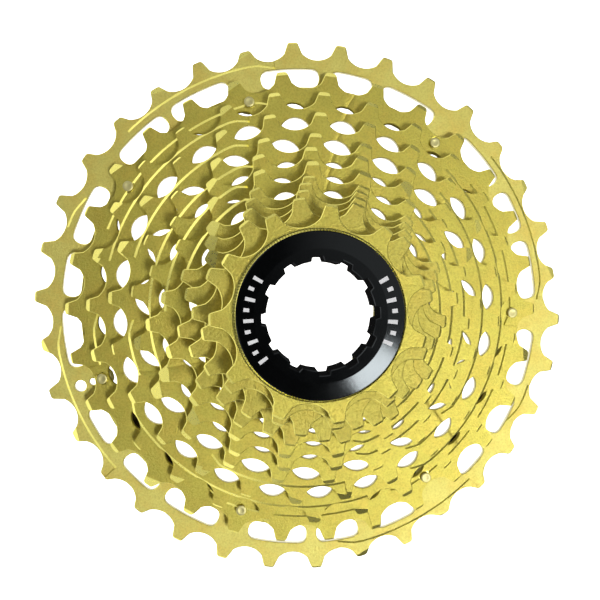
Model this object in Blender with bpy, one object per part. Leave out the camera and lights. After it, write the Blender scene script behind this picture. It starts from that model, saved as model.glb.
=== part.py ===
"""Twelve-speed road cassette, 11 to 34 teeth, with its washer and lockring.

Metres, +Z up. The cassette lies on the rear face of its largest sprocket at z = 0.
Its axis is +Z, so the small sprockets and the lockring are on top.
"""
import math

import bmesh
import bpy

MM = 0.001

# chain and tooth form, millimetres
CHAIN_PITCH = 12.7
ROLLER_SEAT = 3.92          # radius of the arc that a chain roller sits in
SEAT_ANGLE = 58.0           # half opening of that arc, degrees
ROOT_DEPTH = 3.90           # root circle below pitch circle
TIP_HEIGHT = 0.60           # tooth tip above pitch circle
TIP_HALF_LARGE = 0.55       # half width of a tooth tip on the 34-tooth sprocket
TIP_HALF_GROWTH = 0.75      # how much wider that is on the 11-tooth sprocket

# stack, millimetres
SPROCKET_STEP = 3.5         # front face to front face
PLATE = 1.6                 # sprocket thickness
GAP = 0.3                   # between pieces that touch

# teeth, rear to front, and the angle of one tooth gap on each, degrees
SPROCKETS = (
    (34, 4.6), (30, 7.8), (27, 0.7), (24, 5.8), (21, 12.8), (19, 6.6),
    (17, 17.6), (15, 9.8), (14, 6.2), (13, 1.4), (12, 26.4), (11, 4.0),
)

# rings with a scalloped inner edge: teeth -> (arches, arch radius, top of arch)
SCALLOPS = {
    30: (24, 4.0, 53.6), 27: (24, 4.0, 48.7), 24: (19, 4.5, 42.8),
    21: (19, 3.4, 36.6), 19: (15, 3.4, 32.6), 17: (15, 3.4, 28.7),
}
WALL = 1.15                 # radial thickness of the spacer rings between them

# 34-tooth ring, its windows and its rivets
RING_INNER = 54.2
WINDOW_INNER, WINDOW_OUTER, WINDOW_CORNER = 58.2, 63.0, 2.2
WINDOW_LAND = 3.6           # from a rivet to the window beside it, degrees
WINDOW_SIDE = 14.9          # width of the window beside a rivet, degrees
WINDOW_RIB = 2.4            # width of the rib between windows, degrees
RIVET_STATIONS = (0, 4, 8, 11, 15, 19, 23)      # tooth gaps of the 27-tooth ring
RIVET_CIRCLE = 55.0
RIVET_PIN, RIVET_SHOULDER, RIVET_HEAD = 0.75, 1.9, 1.3
RIVET_HOLE = RIVET_PIN + GAP
TAB_DROP, TAB_HALF = 1.7, 2.2                   # tab around each rivet: mm, degrees

# splined bore
SPLINES = 9
SPLINE_ROOT, SPLINE_TIP = 17.4, 16.6
SPLINE_SHARE = 0.32         # share of the circle that the spline teeth fill
HUB_OUTER = 20.6            # hub ring on the 24-tooth spider
ARM_STATIONS = (0, 4, 8, 12, 16)
ARM_FOOT = 3.2              # half width of an arm where it meets the hub
LOOSE_SPACER = (17.9, 21.2) # inner and outer radius
COLLARS = {13: 20.6, 12: 19.6, 11: 18.2}        # collar on the rear of a sprocket

# lockring and washer
RING_FLANGE, RING_TUBE = 17.6, 15.25
RING_TOP, RING_UNDER, RING_BOTTOM = 42.6, 41.4, 35.2
RING_BEVEL_START, RING_BEVEL_DROP = 14.4, 0.4
NOTCHES, NOTCH_FLOOR, NOTCH_LAND, NOTCH_ANGLE = 12, 12.3, 11.35, 5.3
NOTCH_SHARE = 0.42
WASHER = (15.6, 17.1)
WASHER_THICK = 0.7


def polar(radius, degrees):
    a = math.radians(degrees)
    return radius * math.cos(a), radius * math.sin(a)


def offset(radius, degrees, inward, along):
    """Point near a circle: radius less inward, moved along the tangent."""
    a = math.radians(degrees)
    r = radius - inward
    return (r * math.cos(a) - along * math.sin(a), r * math.sin(a) + along * math.cos(a))


def circle(radius, count, start=0.0):
    return [polar(radius, start + 360.0 * i / count) for i in range(count)]


def pitch_radius(teeth):
    return CHAIN_PITCH / 2 / math.sin(math.pi / teeth)


def root_radius(teeth):
    return pitch_radius(teeth) - ROOT_DEPTH


def tooth_outline(teeth, gap_angle):
    """Roller seats joined by straight flanks to flat tips, six points a tooth."""
    rp = pitch_radius(teeth)
    half = TIP_HALF_LARGE + (34 - teeth) / 23.0 * TIP_HALF_GROWTH
    step = 360.0 / teeth
    points = []
    for i in range(teeth):
        seat = gap_angle + i * step
        for a in (-SEAT_ANGLE, -SEAT_ANGLE / 3, SEAT_ANGLE / 3, SEAT_ANGLE):
            t = math.radians(a)
            points.append(offset(rp, seat, ROLLER_SEAT * math.cos(t), ROLLER_SEAT * math.sin(t)))
        for side in (-1, 1):
            points.append(offset(rp, seat + step / 2, -TIP_HEIGHT, side * half))
    return points


def arch(centre_radius, radius, degrees):
    """Five points over the top of one arch, in order of rising angle."""
    points = []
    for b in (-90, -45, 0, 45, 90):
        t = math.radians(b)
        points.append(offset(centre_radius, degrees, -radius * math.cos(t), radius * math.sin(t)))
    return points


def scallop_angles(teeth):
    """Arches sit under the tooth gaps of the sprocket with that many teeth."""
    count = SCALLOPS[teeth][0]
    gap_angle = dict(SPROCKETS)[count]
    return [gap_angle + 360.0 * i / count for i in range(count)]


def scalloped_edge(teeth):
    count, radius, top = SCALLOPS[teeth]
    points = []
    for angle in scallop_angles(teeth):
        points += arch(top - radius, radius, angle)
    return points


def spider_windows(teeth):
    """The scalloped edge, closed into windows between the arms of a hub."""
    count, radius, top = SCALLOPS[teeth]
    angles = scallop_angles(teeth)
    foot = math.degrees(math.asin(ARM_FOOT / HUB_OUTER))
    windows = []
    for n, first in enumerate(ARM_STATIONS):
        last = ARM_STATIONS[(n + 1) % len(ARM_STATIONS)]
        arches = (last - first) % count
        outer = []
        for i in range(arches):
            outer += arch(top - radius, radius, angles[(first + 1 + i) % count])
        start = angles[first] + 180.0 / count + foot
        end = start + arches * 360.0 / count - 2 * foot
        steps = 5
        hub = [polar(HUB_OUTER, end + (start - end) * i / steps) for i in range(steps + 1)]
        windows.append(outer + hub)
    return windows


def bore_outline():
    """Splined bore: nine teeth that reach in from the root circle."""
    points = []
    step = 360.0 / SPLINES
    half = step * SPLINE_SHARE / 2
    for i in range(SPLINES):
        centre = i * step
        points.append(polar(SPLINE_ROOT, centre - half))
        points.append(polar(SPLINE_TIP, centre - half * 0.9))
        points.append(polar(SPLINE_TIP, centre + half * 0.9))
        points.append(polar(SPLINE_ROOT, centre + half))
    return points


def rivet_angles():
    gap = dict(SPROCKETS)[27]
    return [gap + 360.0 / 27 * k for k in RIVET_STATIONS]


def window(start, end):
    """Opening between two radii and two angles, with cut corners."""
    a_in = math.degrees(WINDOW_CORNER / WINDOW_INNER)
    a_out = math.degrees(WINDOW_CORNER / WINDOW_OUTER)
    mid = WINDOW_CORNER * 0.75
    return [
        polar(WINDOW_INNER, start + a_in), polar(WINDOW_INNER, end - a_in),
        polar(WINDOW_INNER + mid, end), polar(WINDOW_OUTER - mid, end),
        polar(WINDOW_OUTER, end - a_out), polar(WINDOW_OUTER, (start + end) / 2),
        polar(WINDOW_OUTER, start + a_out),
        polar(WINDOW_OUTER - mid, start), polar(WINDOW_INNER + mid, start),
    ]


def ring_windows():
    """Three windows in each wide space between rivets, two in the narrow one."""
    rivets = rivet_angles()
    windows = []
    for n, rivet in enumerate(rivets):
        span = (rivets[(n + 1) % len(rivets)] - rivet) % 360.0
        first = rivet + WINDOW_LAND
        last = rivet + span - WINDOW_LAND
        windows.append(window(first, first + WINDOW_SIDE))
        windows.append(window(last - WINDOW_SIDE, last))
        if span > 45:
            inner = WINDOW_SIDE + WINDOW_RIB
            windows.append(window(first + inner, last - inner))
    return windows


def ring_edge():
    """Inner edge of the largest sprocket, with a tab at each rivet."""
    rivets = rivet_angles()
    points = []
    for n, rivet in enumerate(rivets):
        span = (rivets[(n + 1) % len(rivets)] - rivet) % 360.0
        points.append(polar(RING_INNER, rivet - TAB_HALF - 0.6))
        points.append(polar(RING_INNER - TAB_DROP, rivet - TAB_HALF))
        points.append(polar(RING_INNER - TAB_DROP, rivet + TAB_HALF))
        points.append(polar(RING_INNER, rivet + TAB_HALF + 0.6))
        steps = round(span / 7)
        for i in range(1, steps):
            points.append(polar(RING_INNER, rivet + span * i / steps))
    return points


def notch_outline():
    points = []
    step = 360.0 / NOTCHES
    half = step * NOTCH_SHARE / 2
    for i in range(NOTCHES):
        centre = NOTCH_ANGLE + i * step
        points.append(polar(NOTCH_LAND, centre - half * 1.1))
        points.append(polar(NOTCH_FLOOR, centre - half * 0.85))
        points.append(polar(NOTCH_FLOOR, centre + half * 0.85))
        points.append(polar(NOTCH_LAND, centre + half * 1.1))
    return points


def material(name, colour, roughness, metallic):
    mat = bpy.data.materials.new(name)
    mat.use_nodes = True
    bsdf = mat.node_tree.nodes["Principled BSDF"]
    bsdf.inputs["Base Color"].default_value = (*colour, 1.0)
    bsdf.inputs["Roughness"].default_value = roughness
    bsdf.inputs["Metallic"].default_value = metallic
    return mat


class Solid:
    """Closed mesh made of level loops, the walls between them and flat fills."""

    def __init__(self):
        self.bm = bmesh.new()

    def loop(self, points, z):
        verts = [self.bm.verts.new((x * MM, y * MM, z * MM)) for x, y in points]
        for a, b in zip(verts, verts[1:] + verts[:1]):
            self.bm.edges.new((a, b))
        return verts

    def wall(self, low, high):
        count = len(low)
        for i in range(count):
            j = (i + 1) % count
            self.bm.faces.new((low[i], low[j], high[j], high[i]))

    def fill(self, *loops):
        edges = []
        for verts in loops:
            for a, b in zip(verts, verts[1:] + verts[:1]):
                edges.append(self.bm.edges.get((a, b)))
        bmesh.ops.triangle_fill(self.bm, use_beauty=True, edges=edges)

    def lathe(self, profile, segments):
        """Turned piece from (radius, z) steps, closed by flat ends."""
        rings = [self.loop(circle(radius, segments), z) for radius, z in profile]
        for low, high in zip(rings, rings[1:]):
            self.wall(low, high)
        self.fill(rings[0])
        self.fill(rings[-1])

    def finish(self, name, mat, z=0.0):
        bmesh.ops.recalc_face_normals(self.bm, faces=self.bm.faces)
        mesh = bpy.data.meshes.new(name)
        self.bm.to_mesh(mesh)
        self.bm.free()
        for face in mesh.polygons:
            face.use_smooth = True
        mesh.set_sharp_from_angle(angle=math.radians(35))
        mesh.materials.append(mat)
        obj = bpy.data.objects.new(name, mesh)
        obj.location = (0.0, 0.0, z * MM)
        bpy.context.scene.collection.objects.link(obj)
        return obj


def plate(name, mat, outer, openings, thickness, z):
    solid = Solid()
    low = [solid.loop(points, 0.0) for points in (outer, *openings)]
    high = [solid.loop(points, thickness) for points in (outer, *openings)]
    for a, b in zip(low, high):
        solid.wall(a, b)
    solid.fill(*low)
    solid.fill(*high)
    return solid.finish(name, mat, z)


def collared_plate(name, mat, outer, bore, collar, depth, z):
    """Plate with a spacing collar turned on its rear face."""
    solid = Solid()
    rim = circle(collar, 36)
    face_low, face_high = solid.loop(outer, 0.0), solid.loop(outer, PLATE)
    bore_low, bore_high = solid.loop(bore, -depth), solid.loop(bore, PLATE)
    rim_low, rim_high = solid.loop(rim, -depth), solid.loop(rim, 0.0)
    solid.wall(face_low, face_high)
    solid.wall(bore_low, bore_high)
    solid.wall(rim_low, rim_high)
    solid.fill(face_high, bore_high)
    solid.fill(face_low, rim_high)
    solid.fill(rim_low, bore_low)
    return solid.finish(name, mat, z)


def make_sprockets(mat):
    rivet_holes = []
    for angle in rivet_angles():
        cx, cy = polar(RIVET_CIRCLE, angle)
        rivet_holes.append([(cx + x, cy + y) for x, y in circle(RIVET_HOLE, 8)])
    for level, (teeth, gap_angle) in enumerate(SPROCKETS):
        name = f"sprocket_{teeth}t"
        z = level * SPROCKET_STEP
        outer = tooth_outline(teeth, gap_angle)
        if teeth in COLLARS:
            depth = SPROCKET_STEP - PLATE - GAP
            collared_plate(name, mat, outer, bore_outline(), COLLARS[teeth], depth, z)
            continue
        if teeth == 34:
            openings = [ring_edge(), *ring_windows(), *rivet_holes]
        elif teeth == 30:
            openings = [scalloped_edge(teeth), *rivet_holes]
        elif teeth == 24:
            openings = [bore_outline(), *spider_windows(teeth)]
        elif teeth in SCALLOPS:
            openings = [scalloped_edge(teeth)]
        else:
            openings = [bore_outline()]
        plate(name, mat, outer, openings, PLATE, z)


def make_spacers(mat):
    """One ring in each space from the 30-tooth sprocket to the 14-tooth one."""
    height = SPROCKET_STEP - PLATE - 2 * GAP
    teeth = [t for t, _ in SPROCKETS]
    for level in range(1, 8):
        rear, front = teeth[level], teeth[level + 1]
        z = level * SPROCKET_STEP + PLATE + GAP
        if rear in SCALLOPS:
            outer = root_radius(front) - 0.2
            inner = outer - WALL
        else:
            inner, outer = LOOSE_SPACER
        plate(f"spacer_{rear}_{front}", mat, circle(outer, 36), [circle(inner, 36)], height, z)


def make_rivets(mat):
    """Seven shouldered rivets that hold the two largest sprockets apart."""
    front = SPROCKET_STEP + PLATE + GAP
    profile = (
        (RIVET_PIN, 0.1), (RIVET_PIN, PLATE + GAP), (RIVET_SHOULDER, PLATE + GAP),
        (RIVET_SHOULDER, SPROCKET_STEP - GAP), (RIVET_PIN, SPROCKET_STEP - GAP),
        (RIVET_PIN, front), (RIVET_HEAD, front), (RIVET_HEAD * 0.75, front + 0.45),
    )
    for number, angle in enumerate(rivet_angles(), 1):
        solid = Solid()
        solid.lathe(profile, 8)
        rivet = solid.finish(f"carrier_rivet_{number}", mat)
        x, y = polar(RIVET_CIRCLE, angle)
        rivet.location = (x * MM, y * MM, 0.0)


def make_washer(mat):
    z = 11 * SPROCKET_STEP + PLATE + GAP
    inner, outer = WASHER
    return plate("lockring_washer", mat, circle(outer, 36), [circle(inner, 36)], WASHER_THICK, z)


def make_lockring(mat):
    """Flange with a bevelled face, threaded tube and twelve tool notches."""
    solid = Solid()
    base = RING_UNDER
    notch, segments = notch_outline(), 48
    bore_low = solid.loop(notch, RING_BOTTOM - base)
    bore_high = solid.loop(notch, RING_TOP - base)
    tube_low = solid.loop(circle(RING_TUBE, segments), RING_BOTTOM - base)
    tube_high = solid.loop(circle(RING_TUBE, segments), 0.0)
    rim_low = solid.loop(circle(RING_FLANGE, segments), 0.0)
    rim_high = solid.loop(circle(RING_FLANGE, segments), RING_TOP - RING_BEVEL_DROP - base)
    face = solid.loop(circle(RING_BEVEL_START, segments), RING_TOP - base)
    solid.wall(bore_low, bore_high)
    solid.wall(tube_low, tube_high)
    solid.wall(rim_low, rim_high)
    solid.wall(rim_high, face)
    solid.fill(bore_low, tube_low)
    solid.fill(tube_high, rim_low)
    solid.fill(face, bore_high)
    return solid.finish("lockring", mat, base)


for old in list(bpy.data.objects):
    bpy.data.objects.remove(old, do_unlink=True)

gold = material("gold_plated_steel", (0.58, 0.50, 0.16), 0.34, 1.0)
spacer_steel = material("gold_spacer", (0.42, 0.36, 0.12), 0.5, 1.0)
rivet_steel = material("rivet_steel", (0.62, 0.56, 0.30), 0.35, 1.0)
washer_steel = material("washer_steel", (0.55, 0.55, 0.56), 0.4, 1.0)
black = material("black_anodised", (0.012, 0.012, 0.014), 0.32, 0.6)

make_sprockets(gold)
make_spacers(spacer_steel)
make_rivets(rivet_steel)
make_washer(washer_steel)
make_lockring(black)
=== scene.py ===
"""Looks of the twelve-speed bicycle cassette.

Detailed sprockets, spacer rings, rivets, washer and lockring stand for the plain CAD nodes.
Shapes are modelled in millimetres, in the frame of the CAD model, and scaled to metres at the end.
"""
import math

import bmesh
import bpy
from mathutils import Matrix, Vector


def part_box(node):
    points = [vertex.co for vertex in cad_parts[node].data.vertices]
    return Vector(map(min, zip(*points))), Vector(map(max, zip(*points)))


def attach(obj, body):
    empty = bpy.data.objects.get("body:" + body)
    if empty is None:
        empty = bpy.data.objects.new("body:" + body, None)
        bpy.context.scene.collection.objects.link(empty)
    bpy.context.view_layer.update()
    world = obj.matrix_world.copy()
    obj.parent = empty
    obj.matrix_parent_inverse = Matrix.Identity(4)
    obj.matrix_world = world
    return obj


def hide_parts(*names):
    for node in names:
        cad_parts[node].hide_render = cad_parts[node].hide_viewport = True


MM = 0.001

# chain and tooth form
CHAIN_PITCH = 12.7
ROOT_DROP = 3.9                 # root below the pitch circle
ROOT_DROP_LARGEST = 3.45        # the same on the 34-tooth sprocket
SEAT_ARC = 5.7                  # radius of the arc between two teeth
SEAT_ANGLE = 42                 # half opening of that arc, degrees
TIP_HEIGHT = 0.7                # tooth tip above the pitch circle
TIP_HEIGHT_LARGEST = 1.1
TIP_HALF = 1.25                 # half width of a tooth tip
TIP_ROUND = 0.6                 # distance over which a tip's corners are rounded
PLATE = 1.6
RIM = 0.15                      # broken edge round every outline

# material index of a sprocket's faces, of machined cuts and of the walls of its openings (the last
# two partly painted highlights)
FACE, CUT, PUNCHED = 0, 1, 2

# teeth, rear to front, and the angle of one gap between teeth on each, degrees
GAP_ANGLE = {
    34: 4.6, 30: 7.8, 27: 0.7, 24: 5.8, 21: 12.8, 19: 6.6,
    17: 17.6, 15: 9.8, 14: 6.2, 13: 1.4, 12: 26.4, 11: 4.0,
}
TEETH = tuple(GAP_ANGLE)
LARGEST, SMALLEST = max(TEETH), min(TEETH)
CARRIER = 30                    # the largest sprocket is riveted to this one
SPIDER = 24                     # has arms and a splined hub
BLASTED = range(12, 16)         # have a coarser grain

# teeth of the 34-tooth sprocket that are cut lower: angle -> how much
LOW_TEETH = {
    10: 0.7, 31: 0.7, 42: 1.0, 105: 0.7, 126: 0.5, 137: 0.9, 147: 0.7, 190: 0.8, 211: 0.8,
    222: 1.2, 232: 0.9, 285: 0.8, 306: 1.9, 317: 1.2, 327: 0.8,
}

# tip chamfer turned on the front face: width and depth, on the middle sprockets and on the others
TIP_CHAMFER = (1.05, 0.75)
TIP_CHAMFER_SLIGHT = (0.45, 0.3)
CHAMFERED = range(17, 31)

# scalloped inner edges: teeth -> (arches, arch radius, top of arch)
SCALLOPS = {
    30: (24, 4.0, 53.3), 27: (24, 4.0, 48.7), 24: (19, 4.5, 42.8),
    21: (19, 3.4, 36.6), 19: (15, 3.4, 32.6), 17: (15, 3.4, 28.7),
}

# inner edge of the 34-tooth sprocket: tabs at the rivets, and a land that reaches further in
RING_INNER = 54.2
TAB_DROP, TAB_HALF = 1.1, 2.8           # mm, degrees
LAND_START, LAND_END = 207, 352         # degrees
LAND_DROP, LAND_DEPTH, LAND_WIDTH = 2.3, 1.0, 2.1

# its windows, in degrees from the rivet before them, and two small round holes
WINDOW_INNER, WINDOW_OUTER, WINDOW_CORNER = 58.2, 63.0, 2.3
WIDE_SECTOR = ((3.6, 18.4), (20.9, 31.6), (34.4, 48.9))
NARROW_SECTOR = ((3.6, 19.0), (21.0, 35.6))
ODD_WINDOWS = {(4, 0): (6.3, 16.3), (5, 2): (36.0, 47.0), (6, 0): (7.6, 16.6)}
PEEP_HOLES = ((61.8, 200.9, 1.5), (58.5, 200.9, 0.9))       # distance from the axis, angle, radius

# rivets through the two largest sprockets, in line with tooth gaps of a third one
RIVET_GUIDE = 27
RIVET_STATIONS = (0, 4, 8, 11, 15, 19, 23)
RIVET_CIRCLE, RIVET_HOLE = 55.0, 1.05
RIVET_SEAT, SEAT_DEPTH = 1.62, 0.25     # counterbore round a head
RIVET_PIN, RIVET_SHOULDER = 0.75, 1.9   # radii
SHOULDER_LOW, SHOULDER_HIGH = 1.9, 3.2
HEAD_FOOT, HEAD_HEIGHT = 1.25, 0.45     # radius of a head's underside, height of its dome

# radius and height of a rivet's dished head, from the rim inwards
HEAD_DOME = (
    (1.32, 0.0), (1.32, 0.28), (1.24, 0.38), (1.05, 0.44),
    (0.85, 0.45), (0.7, 0.44), (0.5, 0.4), (0.25, 0.38),
)

# recesses milled in the front faces: teeth -> (inner radius, spans in degrees)
RECESS_DEPTH, RECESS_SLOPE = 0.45, 0.65
RECESS_RAMP, RECESS_RAMP_SPAN = 1.4, 4.5        # lead-in: mm, degrees
RECESSES = {
    34: (64.5, ((4, 41), (99, 137), (155, 163), (186, 222), (280, 316), (333, 343))),
    30: (54.2, ((-3, 39), (101, 160), (183, 197), (244, 289), (297, 353))),
    27: (50.6, ((-55, 47), (109, 168), (209, 290))),
    24: (44.3, ((-53, -40), (-36, 43.5), (112, 165), (185, 203), (238, 284))),
    21: (38.4, ((-70, 42), (113, 205))),
    19: (34.2, ((-70, 45), (119, 182))),
    17: (30.3, ((-62, 42), (119, 165))),
}

# teeth with a slanted gate facet, which is deeper on one side: teeth -> angles
GATES_LEFT = {
    34: (9, 105, 190, 285),
    30: (109.8, 229.8, 349.5),
    27: (114, 235),
    24: (118.3, 238.3),
    21: (124.2,),
    19: (129.7,),
    17: (134.1,),
    15: (141.8,),
    14: (147.6,),
    13: (153.7,),
}
GATES_RIGHT = {
    34: (31, 127, 211, 306),
    30: (147,),
    27: (154, 167, 275, 286),
    24: (28.3, 148.3, 163.3, 268.3, 283.3),
    21: (21.4, 192.8, 210),
    19: (54, 205.5, 224.4),
}
GATE_SLOPE = 28
GATE_WIDTH = 4.0

# ends of a facet's foot: sideways from the tooth's middle, below the pitch circle
GATE_HIGH, GATE_LOW = (-2.2, 1.1), (3.2, 2.8)

# fine grooves that cross the faces three times round
GROOVE_ANGLES = (78, 198, 318)
GROOVE_LEAN = 3.2               # turn from a groove's outer end to its inner end, degrees
GROOVE_TWIST = 0.45             # turn of a groove for each tooth fewer, degrees
GROOVE_WIDTH, GROOVE_DEPTH = 0.9, 0.12

# splined bore and hub
SPLINES, SPLINE_ROOT, SPLINE_TIP, SPLINE_SHARE = 9, 17.4, 16.6, 0.32
HUB_OUTER = 20.6
ARM_STATIONS = (0, 4, 8, 12, 16)
ARM_FOOT = 3.2
COLLARS = {13: 20.6, 12: 19.6, 11: 18.2}
COLLAR_DEPTH = 1.6
SERRATION_OUTER, SERRATION_COUNT, SERRATION_DEPTH = 18.3, 170, 0.22
SPACER_WALL, LOOSE_SPACER_INNER = 1.15, 17.9

# washer
WASHER_INNER, WASHER_SERRATIONS, WASHER_NOTCH = 15.6, 72, 0.1

# lockring
FLANGE, TUBE = 17.6, 15.25
BEVEL_START, BEVEL_DROP = 13.9, 0.5
NOTCHES, NOTCH_FLOOR, NOTCH_LAND, NOTCH_ANGLE = 12, 12.3, 11.35, 5.3
NOTCH_SHARE = 0.42
NOTCH_RIM = 0.14                # broken edge round the notches
THREAD_PITCH, THREAD_DEPTH = 1.0, 0.5
THREAD_STEPS = 8                # rows of points to a turn of the thread
LOCKRING_SEGMENTS = 192

# bars printed on the lockring, long and short in turn: first angle, spacing, count and half width
MARK_GROUPS = ((-20, 8.6, 7, 1.6), (152, 8.4, 9, 1.4))
MARK_OUTER, MARK_LONG, MARK_SHORT = 16.0, 13.9, 14.8

SHARP_ANGLE = 21                # faces that meet at more than this are shaded with a crease
OVERCUT = 0.5                   # how far a cutter stands out of the face that it cuts


# ---------------------------------------------------------------- outlines

def polar(radius, degrees):
    a = math.radians(degrees)
    return radius * math.cos(a), radius * math.sin(a)


def turned_by(point, degrees):
    """The point turned about the axis."""
    a = math.radians(degrees)
    x, y = point
    return x * math.cos(a) - y * math.sin(a), x * math.sin(a) + y * math.cos(a)


def near(radius, degrees, inward, along):
    """Point near a circle: radius less inward, moved along the tangent."""
    a = math.radians(degrees)
    r = radius - inward
    return r * math.cos(a) - along * math.sin(a), r * math.sin(a) + along * math.cos(a)


def arc(radius, start, end, steps):
    return [polar(radius, start + (end - start) * i / steps) for i in range(steps + 1)]


def circle(radius, count, centre=(0.0, 0.0)):
    """Counterclockwise, as every outer outline is."""
    points = (polar(radius, 360.0 * i / count) for i in range(count))
    return [(centre[0] + x, centre[1] + y) for x, y in points]


def pitch_radius(teeth):
    return CHAIN_PITCH / 2 / math.sin(math.pi / teeth)


def tip_heights(teeth):
    """Height of each tooth above the pitch circle."""
    if teeth != LARGEST:
        return [TIP_HEIGHT] * teeth
    step = 360.0 / teeth
    first = GAP_ANGLE[teeth] + step / 2
    heights = [TIP_HEIGHT_LARGEST] * teeth
    for angle, low_by in LOW_TEETH.items():
        heights[round((angle - first) / step) % teeth] -= low_by
    return heights


def rounded_corner(before, corner, after, reach, count):
    """Points of the curve that rounds a corner. It starts and ends at that reach from it."""
    ends = []
    for other in (before, after):
        dx, dy = other[0] - corner[0], other[1] - corner[1]
        share = reach / math.hypot(dx, dy)
        ends.append((corner[0] + dx * share, corner[1] + dy * share))
    points = []
    for k in range(count):
        t = k / (count - 1)
        points.append(tuple(
            (1 - t) ** 2 * a + 2 * t * (1 - t) * c + t * t * b
            for a, c, b in zip(ends[0], corner, ends[1])
        ))
    return points


def tooth_outline(teeth):
    """Wide round seats joined by steep flanks to tips with rounded corners."""
    rp = pitch_radius(teeth)
    drop = ROOT_DROP if teeth != LARGEST else ROOT_DROP_LARGEST
    step = 360.0 / teeth
    points = []
    for i, height in enumerate(tip_heights(teeth)):
        middle = GAP_ANGLE[teeth] + i * step
        seat = []
        for k in range(-6, 7):
            t = math.radians(SEAT_ANGLE * k / 6)
            seat.append(near(rp, middle, drop - SEAT_ARC * (1 - math.cos(t)), SEAT_ARC * math.sin(t)))
        tip = middle + step / 2
        left, right = near(rp, tip, -height, -TIP_HALF), near(rp, tip, -height, TIP_HALF)
        points += seat
        points += rounded_corner(seat[-1], left, right, TIP_ROUND, 4)
        points += rounded_corner(left, right, turned_by(seat[0], step), TIP_ROUND, 4)
    return points


def arch(centre_radius, radius, degrees):
    """Half circle that bulges outwards."""
    points = []
    for k in range(-6, 7):
        t = math.radians(15 * k)
        points.append(near(centre_radius, degrees, -radius * math.cos(t), radius * math.sin(t)))
    return points


def scallop_angles(teeth):
    """Middles of the arches, which stand in line with the gaps of a sprocket of as many teeth."""
    count = SCALLOPS[teeth][0]
    return [GAP_ANGLE[count] + 360.0 * i / count for i in range(count)]


def scalloped_edge(teeth):
    count, radius, top = SCALLOPS[teeth]
    points = []
    for angle in scallop_angles(teeth):
        points += arch(top - radius, radius, angle)
    return points


def spider_windows(teeth):
    """The scalloped edge, closed into windows between the arms of a hub."""
    count, radius, top = SCALLOPS[teeth]
    angles = scallop_angles(teeth)
    foot = math.degrees(math.asin(ARM_FOOT / HUB_OUTER))
    windows = []
    for n, first in enumerate(ARM_STATIONS):
        last = ARM_STATIONS[(n + 1) % len(ARM_STATIONS)]
        arches = (last - first) % count
        outer = []
        for i in range(arches):
            outer += arch(top - radius, radius, angles[(first + 1 + i) % count])
        start = angles[first] + 180.0 / count + foot
        end = start + arches * 360.0 / count - 2 * foot
        windows.append(outer + arc(HUB_OUTER, end, start, 24))
    return windows


def bore_outline():
    """Splined bore: nine teeth that reach in from the root circle."""
    points = []
    step = 360.0 / SPLINES
    half = step * SPLINE_SHARE / 2
    for i in range(SPLINES):
        centre = i * step
        points += arc(SPLINE_TIP, centre - half * 0.9, centre + half * 0.9, 4)
        points += arc(SPLINE_ROOT, centre + half, centre + step - half, 8)
    return points


def rivet_angles():
    return [GAP_ANGLE[RIVET_GUIDE] + 360.0 / RIVET_GUIDE * k for k in RIVET_STATIONS]


def window(start, end):
    """Opening between two radii and two angles, with rounded corners. It runs clockwise."""
    steps = max(2, round((end - start) / 2))
    outline = arc(WINDOW_OUTER, start, end, steps)[::-1] + arc(WINDOW_INNER, start, end, steps)
    corners = (outline[0], outline[steps], outline[steps + 1], outline[-1])
    points = []
    for i, point in enumerate(outline):
        if point not in corners:
            if all(math.dist(point, corner) > WINDOW_CORNER for corner in corners):
                points.append(point)
            continue
        before, after = outline[i - 1], outline[(i + 1) % len(outline)]
        points += rounded_corner(before, point, after, WINDOW_CORNER, 6)
    return points


def ring_windows():
    """Three windows in each wide space between rivets, two in the narrow one."""
    rivets = rivet_angles()
    windows = []
    for n, rivet in enumerate(rivets):
        span = (rivets[(n + 1) % len(rivets)] - rivet) % 360.0
        for k, spread in enumerate(WIDE_SECTOR if span > 45 else NARROW_SECTOR):
            start, end = ODD_WINDOWS.get((n, k), spread)
            windows.append(window(rivet + start, rivet + end))
    return windows


def ring_edge():
    """Inner edge of the largest sprocket: a rounded tab at each rivet and one long land."""
    points = []
    rivets = rivet_angles()
    for i in range(360):
        away = min(abs((i - r + 180) % 360 - 180) for r in rivets)
        lift = 0.5 + 0.5 * math.cos(math.pi * min(1.0, away / TAB_HALF))
        drop = LAND_DROP if LAND_START < i < LAND_END else TAB_DROP * min(1.0, 1.6 * lift)
        points.append(polar(RING_INNER - drop, i))
    return points


def notch_outline():
    """Bore of the lockring, with its tool notches."""
    points = []
    step = 360.0 / NOTCHES
    half = step * NOTCH_SHARE / 2
    for i in range(NOTCHES):
        centre = NOTCH_ANGLE + i * step
        points += arc(NOTCH_FLOOR, centre - half * 0.8, centre + half * 0.8, 4)
        points += arc(NOTCH_LAND, centre + half * 1.1, centre + step - half * 1.1, 6)
    return points


def shifted(points, distance):
    """Closed outline moved to its left, which is into the metal."""
    result = []
    count = len(points)
    for i in range(count):
        ax, ay = points[i - 1]
        bx, by = points[i]
        cx, cy = points[(i + 1) % count]
        n1 = Vector((ay - by, bx - ax)).normalized()
        n2 = Vector((by - cy, cx - bx)).normalized()
        n = (n1 + n2).normalized()
        reach = distance / max(0.5, n.dot(n1))
        result.append((bx + n.x * reach, by + n.y * reach))
    return result


# ---------------------------------------------------------------- meshes

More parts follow.
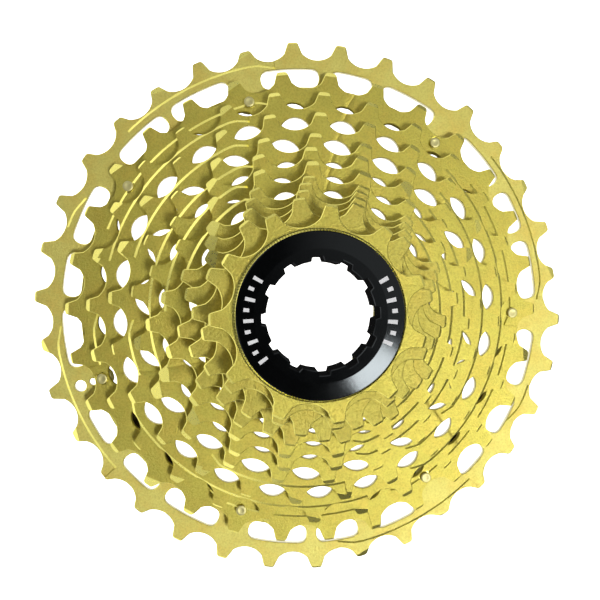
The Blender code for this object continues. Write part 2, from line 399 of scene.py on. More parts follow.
class Solid:
    """Closed mesh made of level loops, the walls between them and flat fills."""

    def __init__(self):
        self.bm = bmesh.new()

    def loop(self, points, z):
        """Closed loop of vertices at one height, or at one height for each point."""
        levels = z if hasattr(z, "__len__") else [z] * len(points)
        verts = [self.bm.verts.new((x, y, h)) for (x, y), h in zip(points, levels)]
        for a, b in zip(verts, verts[1:] + verts[:1]):
            self.bm.edges.new((a, b))
        return verts

    def wall(self, low, high, finish=FACE):
        """Band of faces between two loops of as many vertices."""
        count = len(low)
        for i in range(count):
            j = (i + 1) % count
            face = self.bm.faces.new((low[i], low[j], high[j], high[i]))
            face.material_index = finish

    def walls(self, loops):
        for low, high in zip(loops, loops[1:]):
            self.wall(low, high)

    def fill(self, *loops):
        """Flat face inside the first loop, open inside the others."""
        edges = []
        for verts in loops:
            for a, b in zip(verts, verts[1:] + verts[:1]):
                edges.append(self.bm.edges.get((a, b)))
        bmesh.ops.triangle_fill(self.bm, use_beauty=True, edges=edges)

    def turned_ring(self, profile, segments):
        """Ring turned from a closed (radius, z) profile."""
        loops = [self.loop(circle(r, segments), z) for r, z in profile]
        self.walls(loops + loops[:1])

    def turned(self, profile, segments):
        """Solid turned from an open (radius, z) profile, closed by flat ends."""
        loops = [self.loop(circle(r, segments), z) for r, z in profile]
        self.walls(loops)
        self.fill(loops[0])
        self.fill(loops[-1])

    def prism(self, low, high):
        """Closed block between two outlines of 3-D points."""
        rows = [[self.bm.verts.new(p) for p in row] for row in (low, high)]
        self.wall(*rows)
        self.bm.faces.new(rows[0])
        self.bm.faces.new(rows[1])

    def object(self, name, *materials):
        bmesh.ops.recalc_face_normals(self.bm, faces=self.bm.faces)
        mesh = bpy.data.meshes.new(name)
        self.bm.to_mesh(mesh)
        self.bm.free()
        for material in materials:
            mesh.materials.append(material)
        return bpy.data.objects.new(name, mesh)


def broken_wall(solid, points, bottom, top, rim=RIM):
    """Loops of an upright wall with a broken edge below and above."""
    inset = shifted(points, rim)
    return [
        solid.loop(inset, bottom), solid.loop(points, bottom + rim),
        solid.loop(points, top - rim), solid.loop(inset, top),
    ]


def broken_plate(solid, outlines, bottom, top, plain=1):
    """Walls of a plate with openings and a broken edge round every outline.

    The walls of the first plain outlines have the finish of the faces, the others are punched.
    Returns the loops that bound the lower and the upper face.
    """
    columns = [broken_wall(solid, points, bottom, top) for points in outlines]
    for n, column in enumerate(columns):
        solid.wall(column[0], column[1], CUT)
        solid.wall(column[1], column[2], FACE if n < plain else PUNCHED)
        solid.wall(column[2], column[3], CUT)
    return [column[0] for column in columns], [column[-1] for column in columns]


def carved(piece, cutters):
    """The piece's mesh with the cutters taken away."""
    scene = bpy.context.scene
    group = bpy.data.collections.new("cutters")
    scene.collection.children.link(group)
    scene.collection.objects.link(piece)
    for cutter in cutters:
        group.objects.link(cutter)
    cut = piece.modifiers.new("carve", "BOOLEAN")
    cut.operation = "DIFFERENCE"
    cut.solver = "EXACT"
    cut.operand_type = "COLLECTION"
    cut.collection = group
    cut.material_mode = "TRANSFER"
    bpy.context.view_layer.update()
    evaluated = piece.evaluated_get(bpy.context.evaluated_depsgraph_get())
    mesh = bpy.data.meshes.new_from_object(evaluated)
    piece.modifiers.remove(cut)
    piece.data = mesh
    for cutter in cutters:
        bpy.data.objects.remove(cutter)
    bpy.data.collections.remove(group)
    return piece


def at_rivet(piece, angle):
    """The piece moved from the axis to a rivet's place."""
    x, y = polar(RIVET_CIRCLE, angle)
    piece.data.transform(Matrix.Translation((x, y, 0.0)))
    return piece


def place(piece, body, slot, *nodes):
    """Scale to metres, shade, and hand the piece over to the frame."""
    mesh = piece.data
    mesh.transform(Matrix.Scale(MM, 4))
    for face in mesh.polygons:
        face.use_smooth = True
    mesh.set_sharp_from_angle(angle=math.radians(SHARP_ANGLE))
    if piece.name not in bpy.context.scene.objects:
        bpy.context.scene.collection.objects.link(piece)
    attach(piece, body)
    if nodes:
        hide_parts(*nodes)
    return piece


# ---------------------------------------------------------------- cutters

def tip_cutter(teeth, top):
    """Ring that turns the chamfer on the tips."""
    width, depth = TIP_CHAMFER if teeth in CHAMFERED else TIP_CHAMFER_SLIGHT
    tip = pitch_radius(teeth) + max(tip_heights(teeth))
    run = OVERCUT * width / depth
    solid = Solid()
    solid.turned_ring((
        (tip - width - run, top + OVERCUT),
        (tip + 1.0, top - depth * (1.0 + 1.0 / width)),
        (tip + 1.0, top + OVERCUT),
    ), 4 * teeth)
    return solid.object("tip_cutter", MACHINED_GOLD_HIGHLIGHT)


def recess_cutter(teeth, top, inner, start, end, finish):
    """Lowered outer band with a lead-in, a square end and a wall whose foot lies further out."""
    far = pitch_radius(teeth) + 3.0
    steps = max(4, round((end - start) / 2))
    solid = Solid()
    rows = []
    for rise in (-RECESS_DEPTH, OVERCUT):
        shift = RECESS_SLOPE * (1 - (rise + RECESS_DEPTH) / RECESS_DEPTH)
        row = []
        for i in range(steps + 1):
            a = start + (end - start) * i / steps
            lead = max(0.0, 1 - (a - start) / RECESS_RAMP_SPAN)
            row.append((*polar(inner + shift - RECESS_RAMP * lead, a), top + rise))
        row += [(x, y, top + rise) for x, y in arc(far, end, start, steps)]
        rows.append([solid.bm.verts.new(point) for point in row])
    solid.wall(*rows, CUT)
    count = 2 * (steps + 1)
    for row in rows:
        for i in range(steps):
            solid.bm.faces.new((row[i], row[i + 1], row[count - 2 - i], row[count - 1 - i]))
    return solid.object("recess_cutter", finish, MACHINED_GOLD_HIGHLIGHT)


def bar_cutter(name, a, b, top, section, material):
    """Bar along the line from a to b.

    Its section is given by distances to the left of the line and heights above the face.
    """
    along = Vector((b[0] - a[0], b[1] - a[1])).normalized()
    left = Vector((-along.y, along.x))
    rows = []
    for x, y in (a, b):
        rows.append([(x + left.x * s, y + left.y * s, top + h) for s, h in section])
    solid = Solid()
    solid.prism(*rows)
    return solid.object(name, material)


def groove_cutter(teeth, top, angle, finish):
    """Fine groove that leans across the face from the roots to the inner edge."""
    start = angle + GROOVE_TWIST * (max(SCALLOPS) - teeth)
    a = polar(pitch_radius(teeth) - 1.0, start)
    b = polar(pitch_radius(teeth) - 9.0, start + GROOVE_LEAN)
    half = GROOVE_WIDTH / 2
    section = ((-half, 0.0), (0.0, -GROOVE_DEPTH), (half, 0.0), (half, OVERCUT), (-half, OVERCUT))
    return bar_cutter("groove_cutter", a, b, top, section, finish)


def gate_cutter(teeth, top, angle, mirror):
    """Wedge that takes the top off a tooth. Its foot runs from one flank to the other."""
    step = 360.0 / teeth
    first = GAP_ANGLE[teeth] + step / 2
    tip = first + round((angle - first) / step) * step
    rp = pitch_radius(teeth)
    ends = [near(rp, tip, below, mirror * aside) for aside, below in (GATE_LOW, GATE_HIGH)]
    if mirror < 0:
        ends.reverse()
    depth = GATE_WIDTH * math.tan(math.radians(GATE_SLOPE))
    section = (
        (-OVERCUT, OVERCUT * (depth / GATE_WIDTH)), (GATE_WIDTH, -depth),
        (GATE_WIDTH, 1.0), (-OVERCUT, 1.0),
    )
    return bar_cutter("gate_cutter", *ends, top, section, MACHINED_GOLD_HIGHLIGHT)


def seat_cutter(angle, top):
    """Counterbore round a rivet's head."""
    solid = Solid()
    solid.turned(((RIVET_SEAT, top - SEAT_DEPTH), (RIVET_SEAT, top + OVERCUT)), 32)
    return at_rivet(solid.object("seat_cutter", MACHINED_GOLD_HIGHLIGHT), angle)


def land_cutter(top):
    """Lowers the long land of the largest sprocket and paints it near black: painted shade for the
    shade that falls between the two largest plates.
    """
    start, end = LAND_START - 1, LAND_END + 1
    outer = RING_INNER - LAND_DROP + LAND_WIDTH
    inner = RING_INNER - LAND_DROP - 1.0
    steps = round((end - start) / 2)
    sector = arc(outer, start, end, steps) + arc(inner, end, start, steps)
    solid = Solid()
    low, high = (solid.loop(sector, z) for z in (top - LAND_DEPTH, top + OVERCUT))
    solid.wall(low, high)
    solid.fill(low)
    solid.fill(high)
    return solid.object("land_cutter", LAND_PAINTED_SHADE)


def face_cutters(teeth, top, finish):
    """Everything that is cut into a sprocket's front face."""
    cutters = [tip_cutter(teeth, top)]
    if teeth == LARGEST:
        cutters.append(land_cutter(top))
    if teeth == CARRIER:
        cutters += [seat_cutter(angle, top) for angle in rivet_angles()]
    if teeth in RECESSES:
        inner, spans = RECESSES[teeth]
        cutters += [recess_cutter(teeth, top, inner, start, end, finish) for start, end in spans]
    cutters += [gate_cutter(teeth, top, angle, 1) for angle in GATES_LEFT.get(teeth, ())]
    cutters += [gate_cutter(teeth, top, angle, -1) for angle in GATES_RIGHT.get(teeth, ())]
    if teeth in SCALLOPS:
        cutters += [groove_cutter(teeth, top, angle, finish) for angle in GROOVE_ANGLES]
    return cutters


# ---------------------------------------------------------------- pieces

def rivet_holes():
    """Outlines of the holes for the rivets. They run clockwise."""
    holes = []
    for angle in rivet_angles():
        holes.append(circle(RIVET_HOLE, 20, polar(RIVET_CIRCLE, angle))[::-1])
    return holes


def openings(teeth):
    """Outlines of a sprocket's openings. They run clockwise, with the metal on their left."""
    if teeth == LARGEST:
        peep_holes = [circle(r, 20, polar(at, a))[::-1] for at, a, r in PEEP_HOLES]
        return [ring_edge()[::-1], *ring_windows(), *rivet_holes(), *peep_holes]
    if teeth == CARRIER:
        return [scalloped_edge(teeth)[::-1], *rivet_holes()]
    if teeth == SPIDER:
        return [bore_outline()[::-1]] + [points[::-1] for points in spider_windows(teeth)]
    if teeth in SCALLOPS:
        return [scalloped_edge(teeth)[::-1]]
    return [bore_outline()[::-1]]


def sprocket(teeth, finish):
    """Detailed sprocket, with its front face where that of its CAD node is."""
    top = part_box(f"sprocket_{teeth}t")[1].z / MM
    bottom = top - PLATE
    solid = Solid()
    outer = tooth_outline(teeth)
    if teeth in COLLARS:
        collared_sprocket(solid, teeth, outer, bottom, top)
    else:
        plain = 2 if teeth in (LARGEST, CARRIER) else 1
        rear, front = broken_plate(solid, [outer, *openings(teeth)], bottom, top, plain)
        solid.fill(*rear)
        solid.fill(*front)
    piece = solid.object(f"toothed_ring_{teeth}", finish, MACHINED_GOLD_HIGHLIGHT, PUNCHED_WALL_HIGHLIGHT)
    return carved(piece, face_cutters(teeth, top, finish))


def collared_sprocket(solid, teeth, outer, bottom, top):
    """Plate with a spacing collar on its rear face. The smallest has a serrated front."""
    rear, front = broken_plate(solid, [outer], bottom, top)
    foot = bottom - COLLAR_DEPTH
    collar = [solid.loop(circle(COLLARS[teeth], 96), z) for z in (bottom, foot + RIM)]
    collar.append(solid.loop(circle(COLLARS[teeth] - RIM, 96), foot))
    solid.walls(collar)
    solid.fill(rear[0], collar[0])
    hole = broken_wall(solid, bore_outline()[::-1], foot, top)
    solid.walls(hole)
    solid.fill(collar[-1], hole[0])
    if teeth == SMALLEST:
        serrated_face(solid, front[0], hole[-1], top)
    else:
        solid.fill(front[0], hole[-1])


def serrated_face(solid, rim, hole, top):
    """Front face between two loops, with a ring of radial serrations under the washer."""
    count = 2 * SERRATION_COUNT
    levels = [top - SERRATION_DEPTH * (i % 2) for i in range(count)]
    ring = [
        solid.loop(circle(SERRATION_OUTER, count), top),
        solid.loop(circle(SERRATION_OUTER - 0.25, count), levels),
        solid.loop(circle(SPLINE_ROOT + 0.35, count), levels),
        solid.loop(circle(SPLINE_ROOT + 0.2, count), top),
    ]
    solid.fill(rim, ring[0])
    for outer, inner in zip(ring, ring[1:]):
        solid.wall(outer, inner, CUT)
    solid.fill(ring[-1], hole)


def spacer(rear, front):
    """Turned ring with broken edges."""
    low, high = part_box(f"spacer_{rear}_{front}")
    bottom, top, outer = low.z / MM, high.z / MM, high.x / MM
    inner = outer - SPACER_WALL if rear in SCALLOPS else LOOSE_SPACER_INNER
    solid = Solid()
    solid.turned_ring((
        (inner, bottom + RIM), (inner + RIM, bottom), (outer - RIM, bottom), (outer, bottom + RIM),
        (outer, top - RIM), (outer - RIM, top), (inner + RIM, top), (inner, top - RIM),
    ), 180)
    # the darker gold is painted shade for a ring that sits between the plates
    return solid.object(f"distance_ring_{rear}_{front}", SPACER_GOLD_SHADED)


def rivet(number, angle):
    """Shouldered rivet with a rounded rear end and a dished head."""
    low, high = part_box(f"carrier_rivet_{number}")
    bottom = low.z / MM
    head = high.z / MM - HEAD_HEIGHT
    profile = [
        (0.35, bottom + 0.12), (0.6, bottom), (RIVET_PIN, bottom + 0.1),
        (RIVET_PIN, SHOULDER_LOW), (RIVET_SHOULDER, SHOULDER_LOW),
        (RIVET_SHOULDER, SHOULDER_HIGH), (RIVET_PIN, SHOULDER_HIGH),
        (RIVET_PIN, head - SEAT_DEPTH), (HEAD_FOOT, head - SEAT_DEPTH),
    ]
    profile += [(radius, head + rise) for radius, rise in HEAD_DOME]
    solid = Solid()
    solid.turned(profile, 32)
    return at_rivet(solid.object(f"rivet_{number}", RIVET_STEEL), angle)


def washer():
    """Thin ring with radial serrations on both faces."""
    low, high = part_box("lockring_washer")
    count = 2 * WASHER_SERRATIONS
    lower = [low.z / MM + WASHER_NOTCH * (i % 2) for i in range(count)]
    upper = [high.z / MM - WASHER_NOTCH * (i % 2) for i in range(count)]
    inner, outer = circle(WASHER_INNER, count), circle(high.x / MM, count)
    solid = Solid()
    loops = [
        solid.loop(inner, lower), solid.loop(outer, lower),
        solid.loop(outer, upper), solid.loop(inner, upper),
    ]
    solid.walls(loops + loops[:1])
    return solid.object("serrated_washer", WASHER_STEEL)


def lockring_top(radius, top):
    """Height of the flange's front face at a radius."""
    if radius <= BEVEL_START:
        return top
    return top - BEVEL_DROP * (radius - BEVEL_START) / (FLANGE - BEVEL_START)


def threaded_tube(solid, bottom, top):
    """Loops of the lockring's tube, from its end to the flange."""
    rise = THREAD_PITCH / THREAD_STEPS
    loops = [solid.loop(circle(TUBE - 0.7, LOCKRING_SEGMENTS), bottom)]
    for row in range(round((top - bottom - 0.8) / rise) + 1):
        z = bottom + 0.3 + row * rise
        points = []
        for i in range(LOCKRING_SEGMENTS):
            turn = (z / THREAD_PITCH + i / LOCKRING_SEGMENTS) % 1.0
            depth = THREAD_DEPTH * abs(2 * turn - 1)
            points.append(polar(TUBE - depth, 360.0 * i / LOCKRING_SEGMENTS))
        loops.append(solid.loop(points, z))
    loops.append(solid.loop(circle(TUBE - 0.5, LOCKRING_SEGMENTS), top))
    return loops


def lockring():
    """Flange with a bevelled face, threaded tube and twelve tool notches."""
    low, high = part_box("lockring")
    bottom, top = low.z / MM, high.z / MM
    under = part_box("lockring_washer")[1].z / MM + 0.3
    solid = Solid()
    hole = broken_wall(solid, notch_outline()[::-1], bottom, top, NOTCH_RIM)
    solid.walls(hole)
    outside = threaded_tube(solid, bottom, under)
    flange = [
        (FLANGE - 0.15, under), (FLANGE, under + 0.12),
        (FLANGE, top - BEVEL_DROP - 0.16), (FLANGE - 0.06, top - BEVEL_DROP - 0.05),
    ]
    face = (FLANGE - 0.2, FLANGE - 0.3, BEVEL_START + 0.05, BEVEL_START - 0.03, BEVEL_START - 0.1)
    flange += [(radius, lockring_top(radius, top)) for radius in face]
    outside += [solid.loop(circle(radius, LOCKRING_SEGMENTS), z) for radius, z in flange]
    solid.walls(outside)
    solid.fill(outside[0], hole[0])
    solid.fill(outside[-1], hole[-1])
    return solid.object("lockring_body", BLACK)


def printed_mark(solid, top, inner, start, end):
    """Thin patch of ink that follows the flange's front face."""
    steps = max(1, round((end - start) / 1.5))
    radii = (inner, (inner + MARK_OUTER) / 2, MARK_OUTER)
    grids = []
    for lift in (0.03, -0.05):
        grid = []
        for i in range(steps + 1):
            a = start + (end - start) * i / steps
            points = [(*polar(r, a), lockring_top(r, top) + lift) for r in radii]
            grid.append([solid.bm.verts.new(point) for point in points])
        grids.append(grid)
    upper, lower = grids
    for i in range(steps):
        for k in range(2):
            for grid in grids:
                solid.bm.faces.new((grid[i][k], grid[i + 1][k], grid[i + 1][k + 1], grid[i][k + 1]))
        for k in (0, 2):
            solid.bm.faces.new((upper[i][k], upper[i + 1][k], lower[i + 1][k], lower[i][k]))
    for i in (0, steps):
        for k in range(2):
            solid.bm.faces.new((upper[i][k], upper[i][k + 1], lower[i][k + 1], lower[i][k]))


def lockring_marks():
    """Generic scale marks: long and short bars on both sides."""
    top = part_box("lockring")[1].z / MM
    solid = Solid()
    for first, spacing, count, half in MARK_GROUPS:
        for k in range(count):
            middle = first + spacing * k
            inner = MARK_SHORT if k % 2 else MARK_LONG
            printed_mark(solid, top, inner, middle - half, middle + half)
    return solid.object("lockring_marks", PRINT_INK_GLOW)


# ---------------------------------------------------------------- materials

class Nodes:
    """Short hand for a material's node tree."""

    def __init__(self, name):
        self.material = bpy.data.materials.new(name)
        self.material.use_nodes = True
        self.tree = self.material.node_tree
        self.shader = self.tree.nodes["Principled BSDF"]
        coordinates = self.tree.nodes.new("ShaderNodeTexCoord")
        self.position = coordinates.outputs["Object"]

    def noise(self, size, detail=3.0, roughness=0.55):
        """Noise with features of that size in metres."""
        node = self.tree.nodes.new("ShaderNodeTexNoise")
        self.tree.links.new(self.position, node.inputs["Vector"])
        node.inputs["Scale"].default_value = 1.0 / size
        node.inputs["Detail"].default_value = detail
        node.inputs["Roughness"].default_value = roughness
        return node.outputs["Fac"]

    def radius(self):
        """Distance from the axis in metres."""
        flat = self.tree.nodes.new("ShaderNodeVectorMath")
        flat.operation = "MULTIPLY"
        self.tree.links.new(self.position, flat.inputs[0])
        flat.inputs[1].default_value = (1.0, 1.0, 0.0)
        length = self.tree.nodes.new("ShaderNodeVectorMath")
        length.operation = "LENGTH"
        self.tree.links.new(flat.outputs["Vector"], length.inputs[0])
        return length.outputs["Value"]

    def remap(self, value, low, high, start=0.3, end=0.7):
        """Value from low to high while the input goes from start to end."""
        node = self.tree.nodes.new("ShaderNodeMapRange")
        self.tree.links.new(value, node.inputs["Value"])
        node.inputs["From Min"].default_value = start
        node.inputs["From Max"].default_value = end
        node.inputs["To Min"].default_value = low
        node.inputs["To Max"].default_value = high
        return node.outputs["Result"]

    def mix(self, factor, a, b):
        """Blend of two colours, each of them a tuple or the output of a node."""
        node = self.tree.nodes.new("ShaderNodeMix")
        node.data_type = "RGBA"
        self.tree.links.new(factor, node.inputs[0])
        for socket, colour in ((node.inputs[6], a), (node.inputs[7], b)):
            if isinstance(colour, tuple):
                socket.default_value = (*colour, 1.0)
            else:
                self.tree.links.new(colour, socket)
        return node.outputs[2]

    def bump(self, height, distance, strength=1.0, normal=None):
        node = self.tree.nodes.new("ShaderNodeBump")
        self.tree.links.new(height, node.inputs["Height"])
        node.inputs["Distance"].default_value = distance
        node.inputs["Strength"].default_value = strength
        if normal is not None:
            self.tree.links.new(normal, node.inputs["Normal"])
        return node.outputs["Normal"]

    def link(self, output, socket):
        """Drive an input of the shader."""
        self.tree.links.new(output, self.shader.inputs[socket])


def coated_steel(name, light, dark, roughness, grain, relief, dish=0.0, warmth=0.0):
    """Satin metal with a blasted grain, soft clouds of tone and uneven gloss.

    Grain is the size of the blasted dimples, relief their depth, both in metres.
    Dish is the slope of the shading towards the axis. Warmth is how far its amber patches go.
    """
    nodes = Nodes(name)
    nodes.shader.inputs["Metallic"].default_value = 1.0
    clouds = nodes.noise(0.012, 3.0)
    speckle = nodes.noise(grain, 2.0, 0.7)
    base = nodes.mix(nodes.remap(clouds, 0.0, 0.3), light, dark)
    patches = nodes.noise(0.007, 4.0, 0.65)
    tinted = nodes.mix(nodes.remap(patches, 0.0, warmth, 0.42, 0.68), base, AMBER)
    shaded = nodes.mix(nodes.remap(speckle, 0.0, 0.42, 0.42, 0.68), tinted, dark)
    nodes.link(shaded, "Base Color")
    nodes.link(nodes.remap(speckle, roughness - 0.04, roughness + 0.05), "Roughness")
    hollow = nodes.bump(nodes.radius(), dish) if dish else None
    fine = nodes.bump(nodes.noise(grain * 0.45, 2.0, 0.6), relief * 0.5, 1.0, hollow)
    nodes.link(nodes.bump(speckle, relief, 1.0, fine), "Normal")
    return nodes.material


def pale_punched_highlight(name):
    """Sheared metal on the walls of the openings, painted pale: partly a painted highlight that makes
    the walls read bright.
    """
    nodes = Nodes(name)
    grain = nodes.noise(0.0005, 3.0)
    nodes.shader.inputs["Metallic"].default_value = 0.15
    nodes.link(nodes.mix(grain, (0.93, 0.90, 0.72), (0.80, 0.76, 0.52)), "Base Color")
    nodes.link(nodes.remap(grain, 0.5, 0.65), "Roughness")
    return nodes.material


def anodised(name):
    """Black anodised aluminium, glossy, with a faint grain."""
    nodes = Nodes(name)
    nodes.shader.inputs["Metallic"].default_value = 0.0
    nodes.shader.inputs["Specular IOR Level"].default_value = 0.45
    nodes.shader.inputs["Specular Tint"].default_value = (0.88, 0.97, 1.0, 1.0)
    grain = nodes.noise(0.0006, 3.0)
    nodes.link(nodes.mix(grain, (0.0012, 0.0014, 0.0016), (0.004, 0.0045, 0.005)), "Base Color")
    nodes.link(nodes.remap(nodes.noise(0.004), 0.11, 0.15), "Roughness")
    nodes.link(nodes.bump(grain, 0.000004), "Normal")
    return nodes.material


def ink(name):
    """White print, a little worn, with a faint painted glow."""
    nodes = Nodes(name)
    worn = nodes.noise(0.0004, 2.0)
    wear = nodes.remap(worn, 0.0, 0.6, 0.55, 0.75)
    nodes.link(nodes.mix(wear, (0.95, 0.95, 0.96), (0.6, 0.61, 0.62)), "Base Color")
    # painted glow: the print gives off a little light of its own so that it reads whiter
    nodes.shader.inputs["Emission Color"].default_value = (1.0, 1.0, 1.0, 1.0)
    nodes.shader.inputs["Emission Strength"].default_value = 0.18
    nodes.link(nodes.remap(worn, 0.45, 0.65), "Roughness")
    return nodes.material


# ---------------------------------------------------------------- stage

# smooth patches of light: azimuth, angle off the vertical, inner and outer radius, strength.
# A face mirrors what is at about twice its own slope, so the level faces take the first two,
# the facets and milled walls the ones near 70 and the broken edges the ones near 96.
GLOW = (
    (32, 31, 4, 32, 0.52),
    (128, 42, 4, 23, 0.70),
    (16, 70, 9, 17, 0.60),
    (45, 76, 8, 17, 0.40),
    (142, 68, 14, 22, 0.75),
    (200, 68, 11, 18, 0.74),
    (98, 96, 22, 34, 0.76),
    (150, 98, 22, 34, 0.82),
    (202, 97, 22, 33, 0.90),
    (243, 76, 12, 20, 0.80),
    (256, 96, 10, 17, 0.80),
    (0, 180, 96, 120, 0.16),        # faint light from below and round the horizon
    (0, 180, 50, 66, -0.16),        # less the part that comes from straight below
)
AMBIENT = 0.012

# the compact softbox: azimuth, angle off the vertical, angular size, strength
KEY = (322, 27, 14, 0.98)

# floor and wall, metres
FLOOR_SIZE, FLOOR_DROP = 3.0, 0.0004
FLOOR_GLOW = 1.7                # outshines the shadow on the floor
WALL_RADIUS, WALL_HEIGHT = 1.45, 2.5

# camera: lens and sensor in millimetres, places in metres, roll in radians
LENS, SENSOR = 40.65, 36.0
CAMERA_AT = (-0.0151057, 0.0066385, 0.1806502)
CAMERA_AIM = (-0.0028894, 0.0026455, 0.0216)
CAMERA_ROLL = 0.0342


def direction(azimuth, off_vertical):
    """Unit vector towards a place on the sky."""
    a, t = math.radians(azimuth), math.radians(off_vertical)
    return math.cos(a) * math.sin(t), math.sin(a) * math.sin(t), math.cos(t)


def studio_world():
    """Soft lights as smooth patches on a dark surround."""
    world = bpy.data.worlds.new("studio")
    bpy.context.scene.world = world
    world.use_nodes = True
    tree = world.node_tree
    background = tree.nodes["Background"]
    background.inputs["Color"].default_value = (1.0, 1.0, 1.0, 1.0)
    coordinates = tree.nodes.new("ShaderNodeTexCoord")
    total = None
    for azimuth, tilt, inner, outer, strength in GLOW:
        dot = tree.nodes.new("ShaderNodeVectorMath")
        dot.operation = "DOT_PRODUCT"
        tree.links.new(coordinates.outputs["Generated"], dot.inputs[0])
        dot.inputs[1].default_value = direction(azimuth, tilt)
        lobe = tree.nodes.new("ShaderNodeMapRange")
        lobe.interpolation_type = "SMOOTHSTEP"
        tree.links.new(dot.outputs["Value"], lobe.inputs["Value"])
        lobe.inputs["From Min"].default_value = math.cos(math.radians(outer))
        lobe.inputs["From Max"].default_value = math.cos(math.radians(inner))
        lobe.inputs["To Max"].default_value = strength
        add = tree.nodes.new("ShaderNodeMath")
        add.operation = "ADD"
        tree.links.new(lobe.outputs["Result"], add.inputs[0])
        if total is None:
            add.inputs[1].default_value = AMBIENT
        else:
            tree.links.new(total, add.inputs[1])
        total = add.outputs["Value"]
    tree.links.new(total, background.inputs["Strength"])


def key_light():
    """The softbox that casts the shadows."""
    azimuth, tilt, size, strength = KEY
    data = bpy.data.lights.new("softbox", "SUN")
    data.energy = strength
    data.angle = math.radians(size)
    lamp = bpy.data.objects.new("softbox", data)
    lamp.rotation_mode = "QUATERNION"
    lamp.rotation_quaternion = Vector(direction(azimuth, tilt)).to_track_quat("Z", "Y")
    bpy.context.scene.collection.objects.link(lamp)


def pale_floor():
    """Plain floor, which isn't mirrored in the metal. Returns its material."""
    material = bpy.data.materials.new("floor_white")
    material.use_nodes = True
    shader = material.node_tree.nodes["Principled BSDF"]
    shader.inputs["Base Color"].default_value = (0.9, 0.9, 0.9, 1.0)
    shader.inputs["Roughness"].default_value = 1.0
    shader.inputs["Emission Color"].default_value = (1.0, 1.0, 1.0, 1.0)
    shader.inputs["Emission Strength"].default_value = FLOOR_GLOW
    solid = Solid()
    half = FLOOR_SIZE / 2
    corners = ((-half, -half), (half, -half), (half, half), (-half, half))
    solid.bm.faces.new(solid.loop(corners, 0.0))
    floor = solid.object("floor", material)
    floor.location.z = -FLOOR_DROP
    bpy.context.scene.collection.objects.link(floor)
    floor.visible_glossy = False
    return material


def backdrop(material):
    """Round wall behind the floor. Only the camera sees it, so it takes no part in the light."""
    solid = Solid()
    solid.walls([solid.loop(circle(WALL_RADIUS, 64), z) for z in (-0.01, WALL_HEIGHT)])
    wall = solid.object("backdrop", material)
    bpy.context.scene.collection.objects.link(wall)
    wall.visible_diffuse = False
    wall.visible_glossy = False
    wall.visible_transmission = False
    wall.visible_shadow = False


def camera():
    """Nearly overhead, close, a little to the left."""
    data = bpy.data.cameras.new("camera")
    data.lens, data.sensor_width = LENS, SENSOR
    data.clip_start = 0.005
    position = Vector(CAMERA_AT)
    forward = (Vector(CAMERA_AIM) - position).normalized()
    right = forward.cross(Vector((0, 1, 0))).normalized()
    up = right.cross(forward)
    cosine, sine = math.cos(CAMERA_ROLL), math.sin(CAMERA_ROLL)
    across = cosine * right + sine * up
    upward = -sine * right + cosine * up
    basis = Matrix((across, upward, -forward)).transposed().to_4x4()
    basis.translation = position
    view = bpy.data.objects.new("camera", data)
    view.matrix_world = basis
    bpy.context.scene.collection.objects.link(view)
    bpy.context.scene.camera = view


# ---------------------------------------------------------------- scene

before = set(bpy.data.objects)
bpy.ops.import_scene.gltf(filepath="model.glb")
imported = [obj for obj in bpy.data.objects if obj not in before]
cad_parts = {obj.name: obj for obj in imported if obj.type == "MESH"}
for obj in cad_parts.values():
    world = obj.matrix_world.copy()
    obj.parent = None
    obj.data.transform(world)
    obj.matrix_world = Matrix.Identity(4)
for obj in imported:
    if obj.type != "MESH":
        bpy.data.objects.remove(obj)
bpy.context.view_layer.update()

AMBER = (0.92, 0.66, 0.13)
GOLD = coated_steel(
    "gold_satin", light=(0.86, 0.765, 0.155), dark=(0.55, 0.47, 0.08),
    roughness=0.47, grain=0.0005, relief=0.00009, warmth=0.35,
)
# painted light: the largest sprocket gets a lighter gold, which stands in for the brighter light on
# its outer band
OUTER_GOLD_LIT = coated_steel(
    "outer_gold_painted_light", light=(0.97, 0.88, 0.25), dark=(0.68, 0.58, 0.12),
    roughness=0.465, grain=0.0005, relief=0.00007, dish=0.09, warmth=0.5,
)
GOLD_BLASTED = coated_steel(
    "gold_blasted", light=(0.84, 0.75, 0.17), dark=(0.50, 0.42, 0.07),
    roughness=0.51, grain=0.0006, relief=0.00012, warmth=0.3,
)
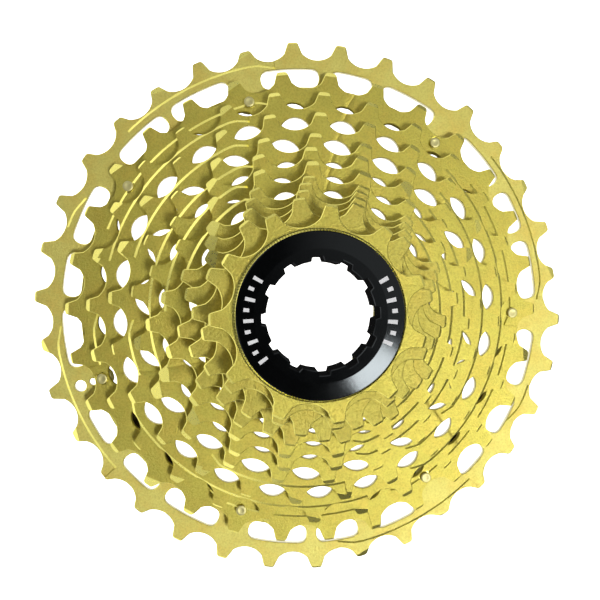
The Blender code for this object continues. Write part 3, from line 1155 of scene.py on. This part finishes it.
# machined cuts, facets and broken edges: glossier, and their lighter gold is partly a painted
# highlight
MACHINED_GOLD_HIGHLIGHT = coated_steel(
    "machined_gold_highlight", light=(1.0, 0.92, 0.24), dark=(0.92, 0.82, 0.18),
    roughness=0.29, grain=0.0005, relief=0.000002,
)
# walls of the openings: sheared metal, painted pale as a painted highlight
PUNCHED_WALL_HIGHLIGHT = pale_punched_highlight("punched_wall_highlight")
# painted shade: near-black gold that stands in for the shade on the land between the two largest
# plates
LAND_PAINTED_SHADE = coated_steel(
    "land_painted_shade", light=(0.13, 0.10, 0.035), dark=(0.05, 0.035, 0.015),
    roughness=0.5, grain=0.0006, relief=0.00004,
)
# painted shade: a darker copy of the gold for the spacer rings, which sit in the shade between the
# plates
SPACER_GOLD_SHADED = coated_steel(
    "spacer_gold_painted_shade", light=(0.66, 0.57, 0.13), dark=(0.42, 0.35, 0.07),
    roughness=0.48, grain=0.0006, relief=0.000015,
)
RIVET_STEEL = coated_steel(
    "rivet_satin", light=(0.96, 0.89, 0.42), dark=(0.8, 0.72, 0.3),
    roughness=0.5, grain=0.0004, relief=0.000010,
)
WASHER_STEEL = coated_steel(
    "washer_satin", light=(0.62, 0.62, 0.6), dark=(0.4, 0.4, 0.4),
    roughness=0.3, grain=0.0004, relief=0.000010,
)
BLACK = anodised("black_anodised")
PRINT_INK_GLOW = ink("print_ink_glow")

for teeth in TEETH:
    finish = GOLD_BLASTED if teeth in BLASTED else GOLD
    # the lighter gold of the largest sprocket is painted light
    if teeth == LARGEST:
        finish = OUTER_GOLD_LIT
    place(sprocket(teeth, finish), "cassette", "gold_coated_steel", f"sprocket_{teeth}t")
for rear, front in zip(TEETH[1:8], TEETH[2:9]):
    place(spacer(rear, front), "cassette", "spacer_steel", f"spacer_{rear}_{front}")
for number, angle in enumerate(rivet_angles(), 1):
    place(rivet(number, angle), "cassette", "rivet_steel", f"carrier_rivet_{number}")
place(washer(), "washer", "washer_steel", "lockring_washer")
place(lockring(), "lockring", "black_anodised", "lockring")
place(lockring_marks(), "lockring", "black_anodised")

studio_world()
key_light()
backdrop(pale_floor())
camera()
bpy.context.scene.view_settings.view_transform = "Standard"
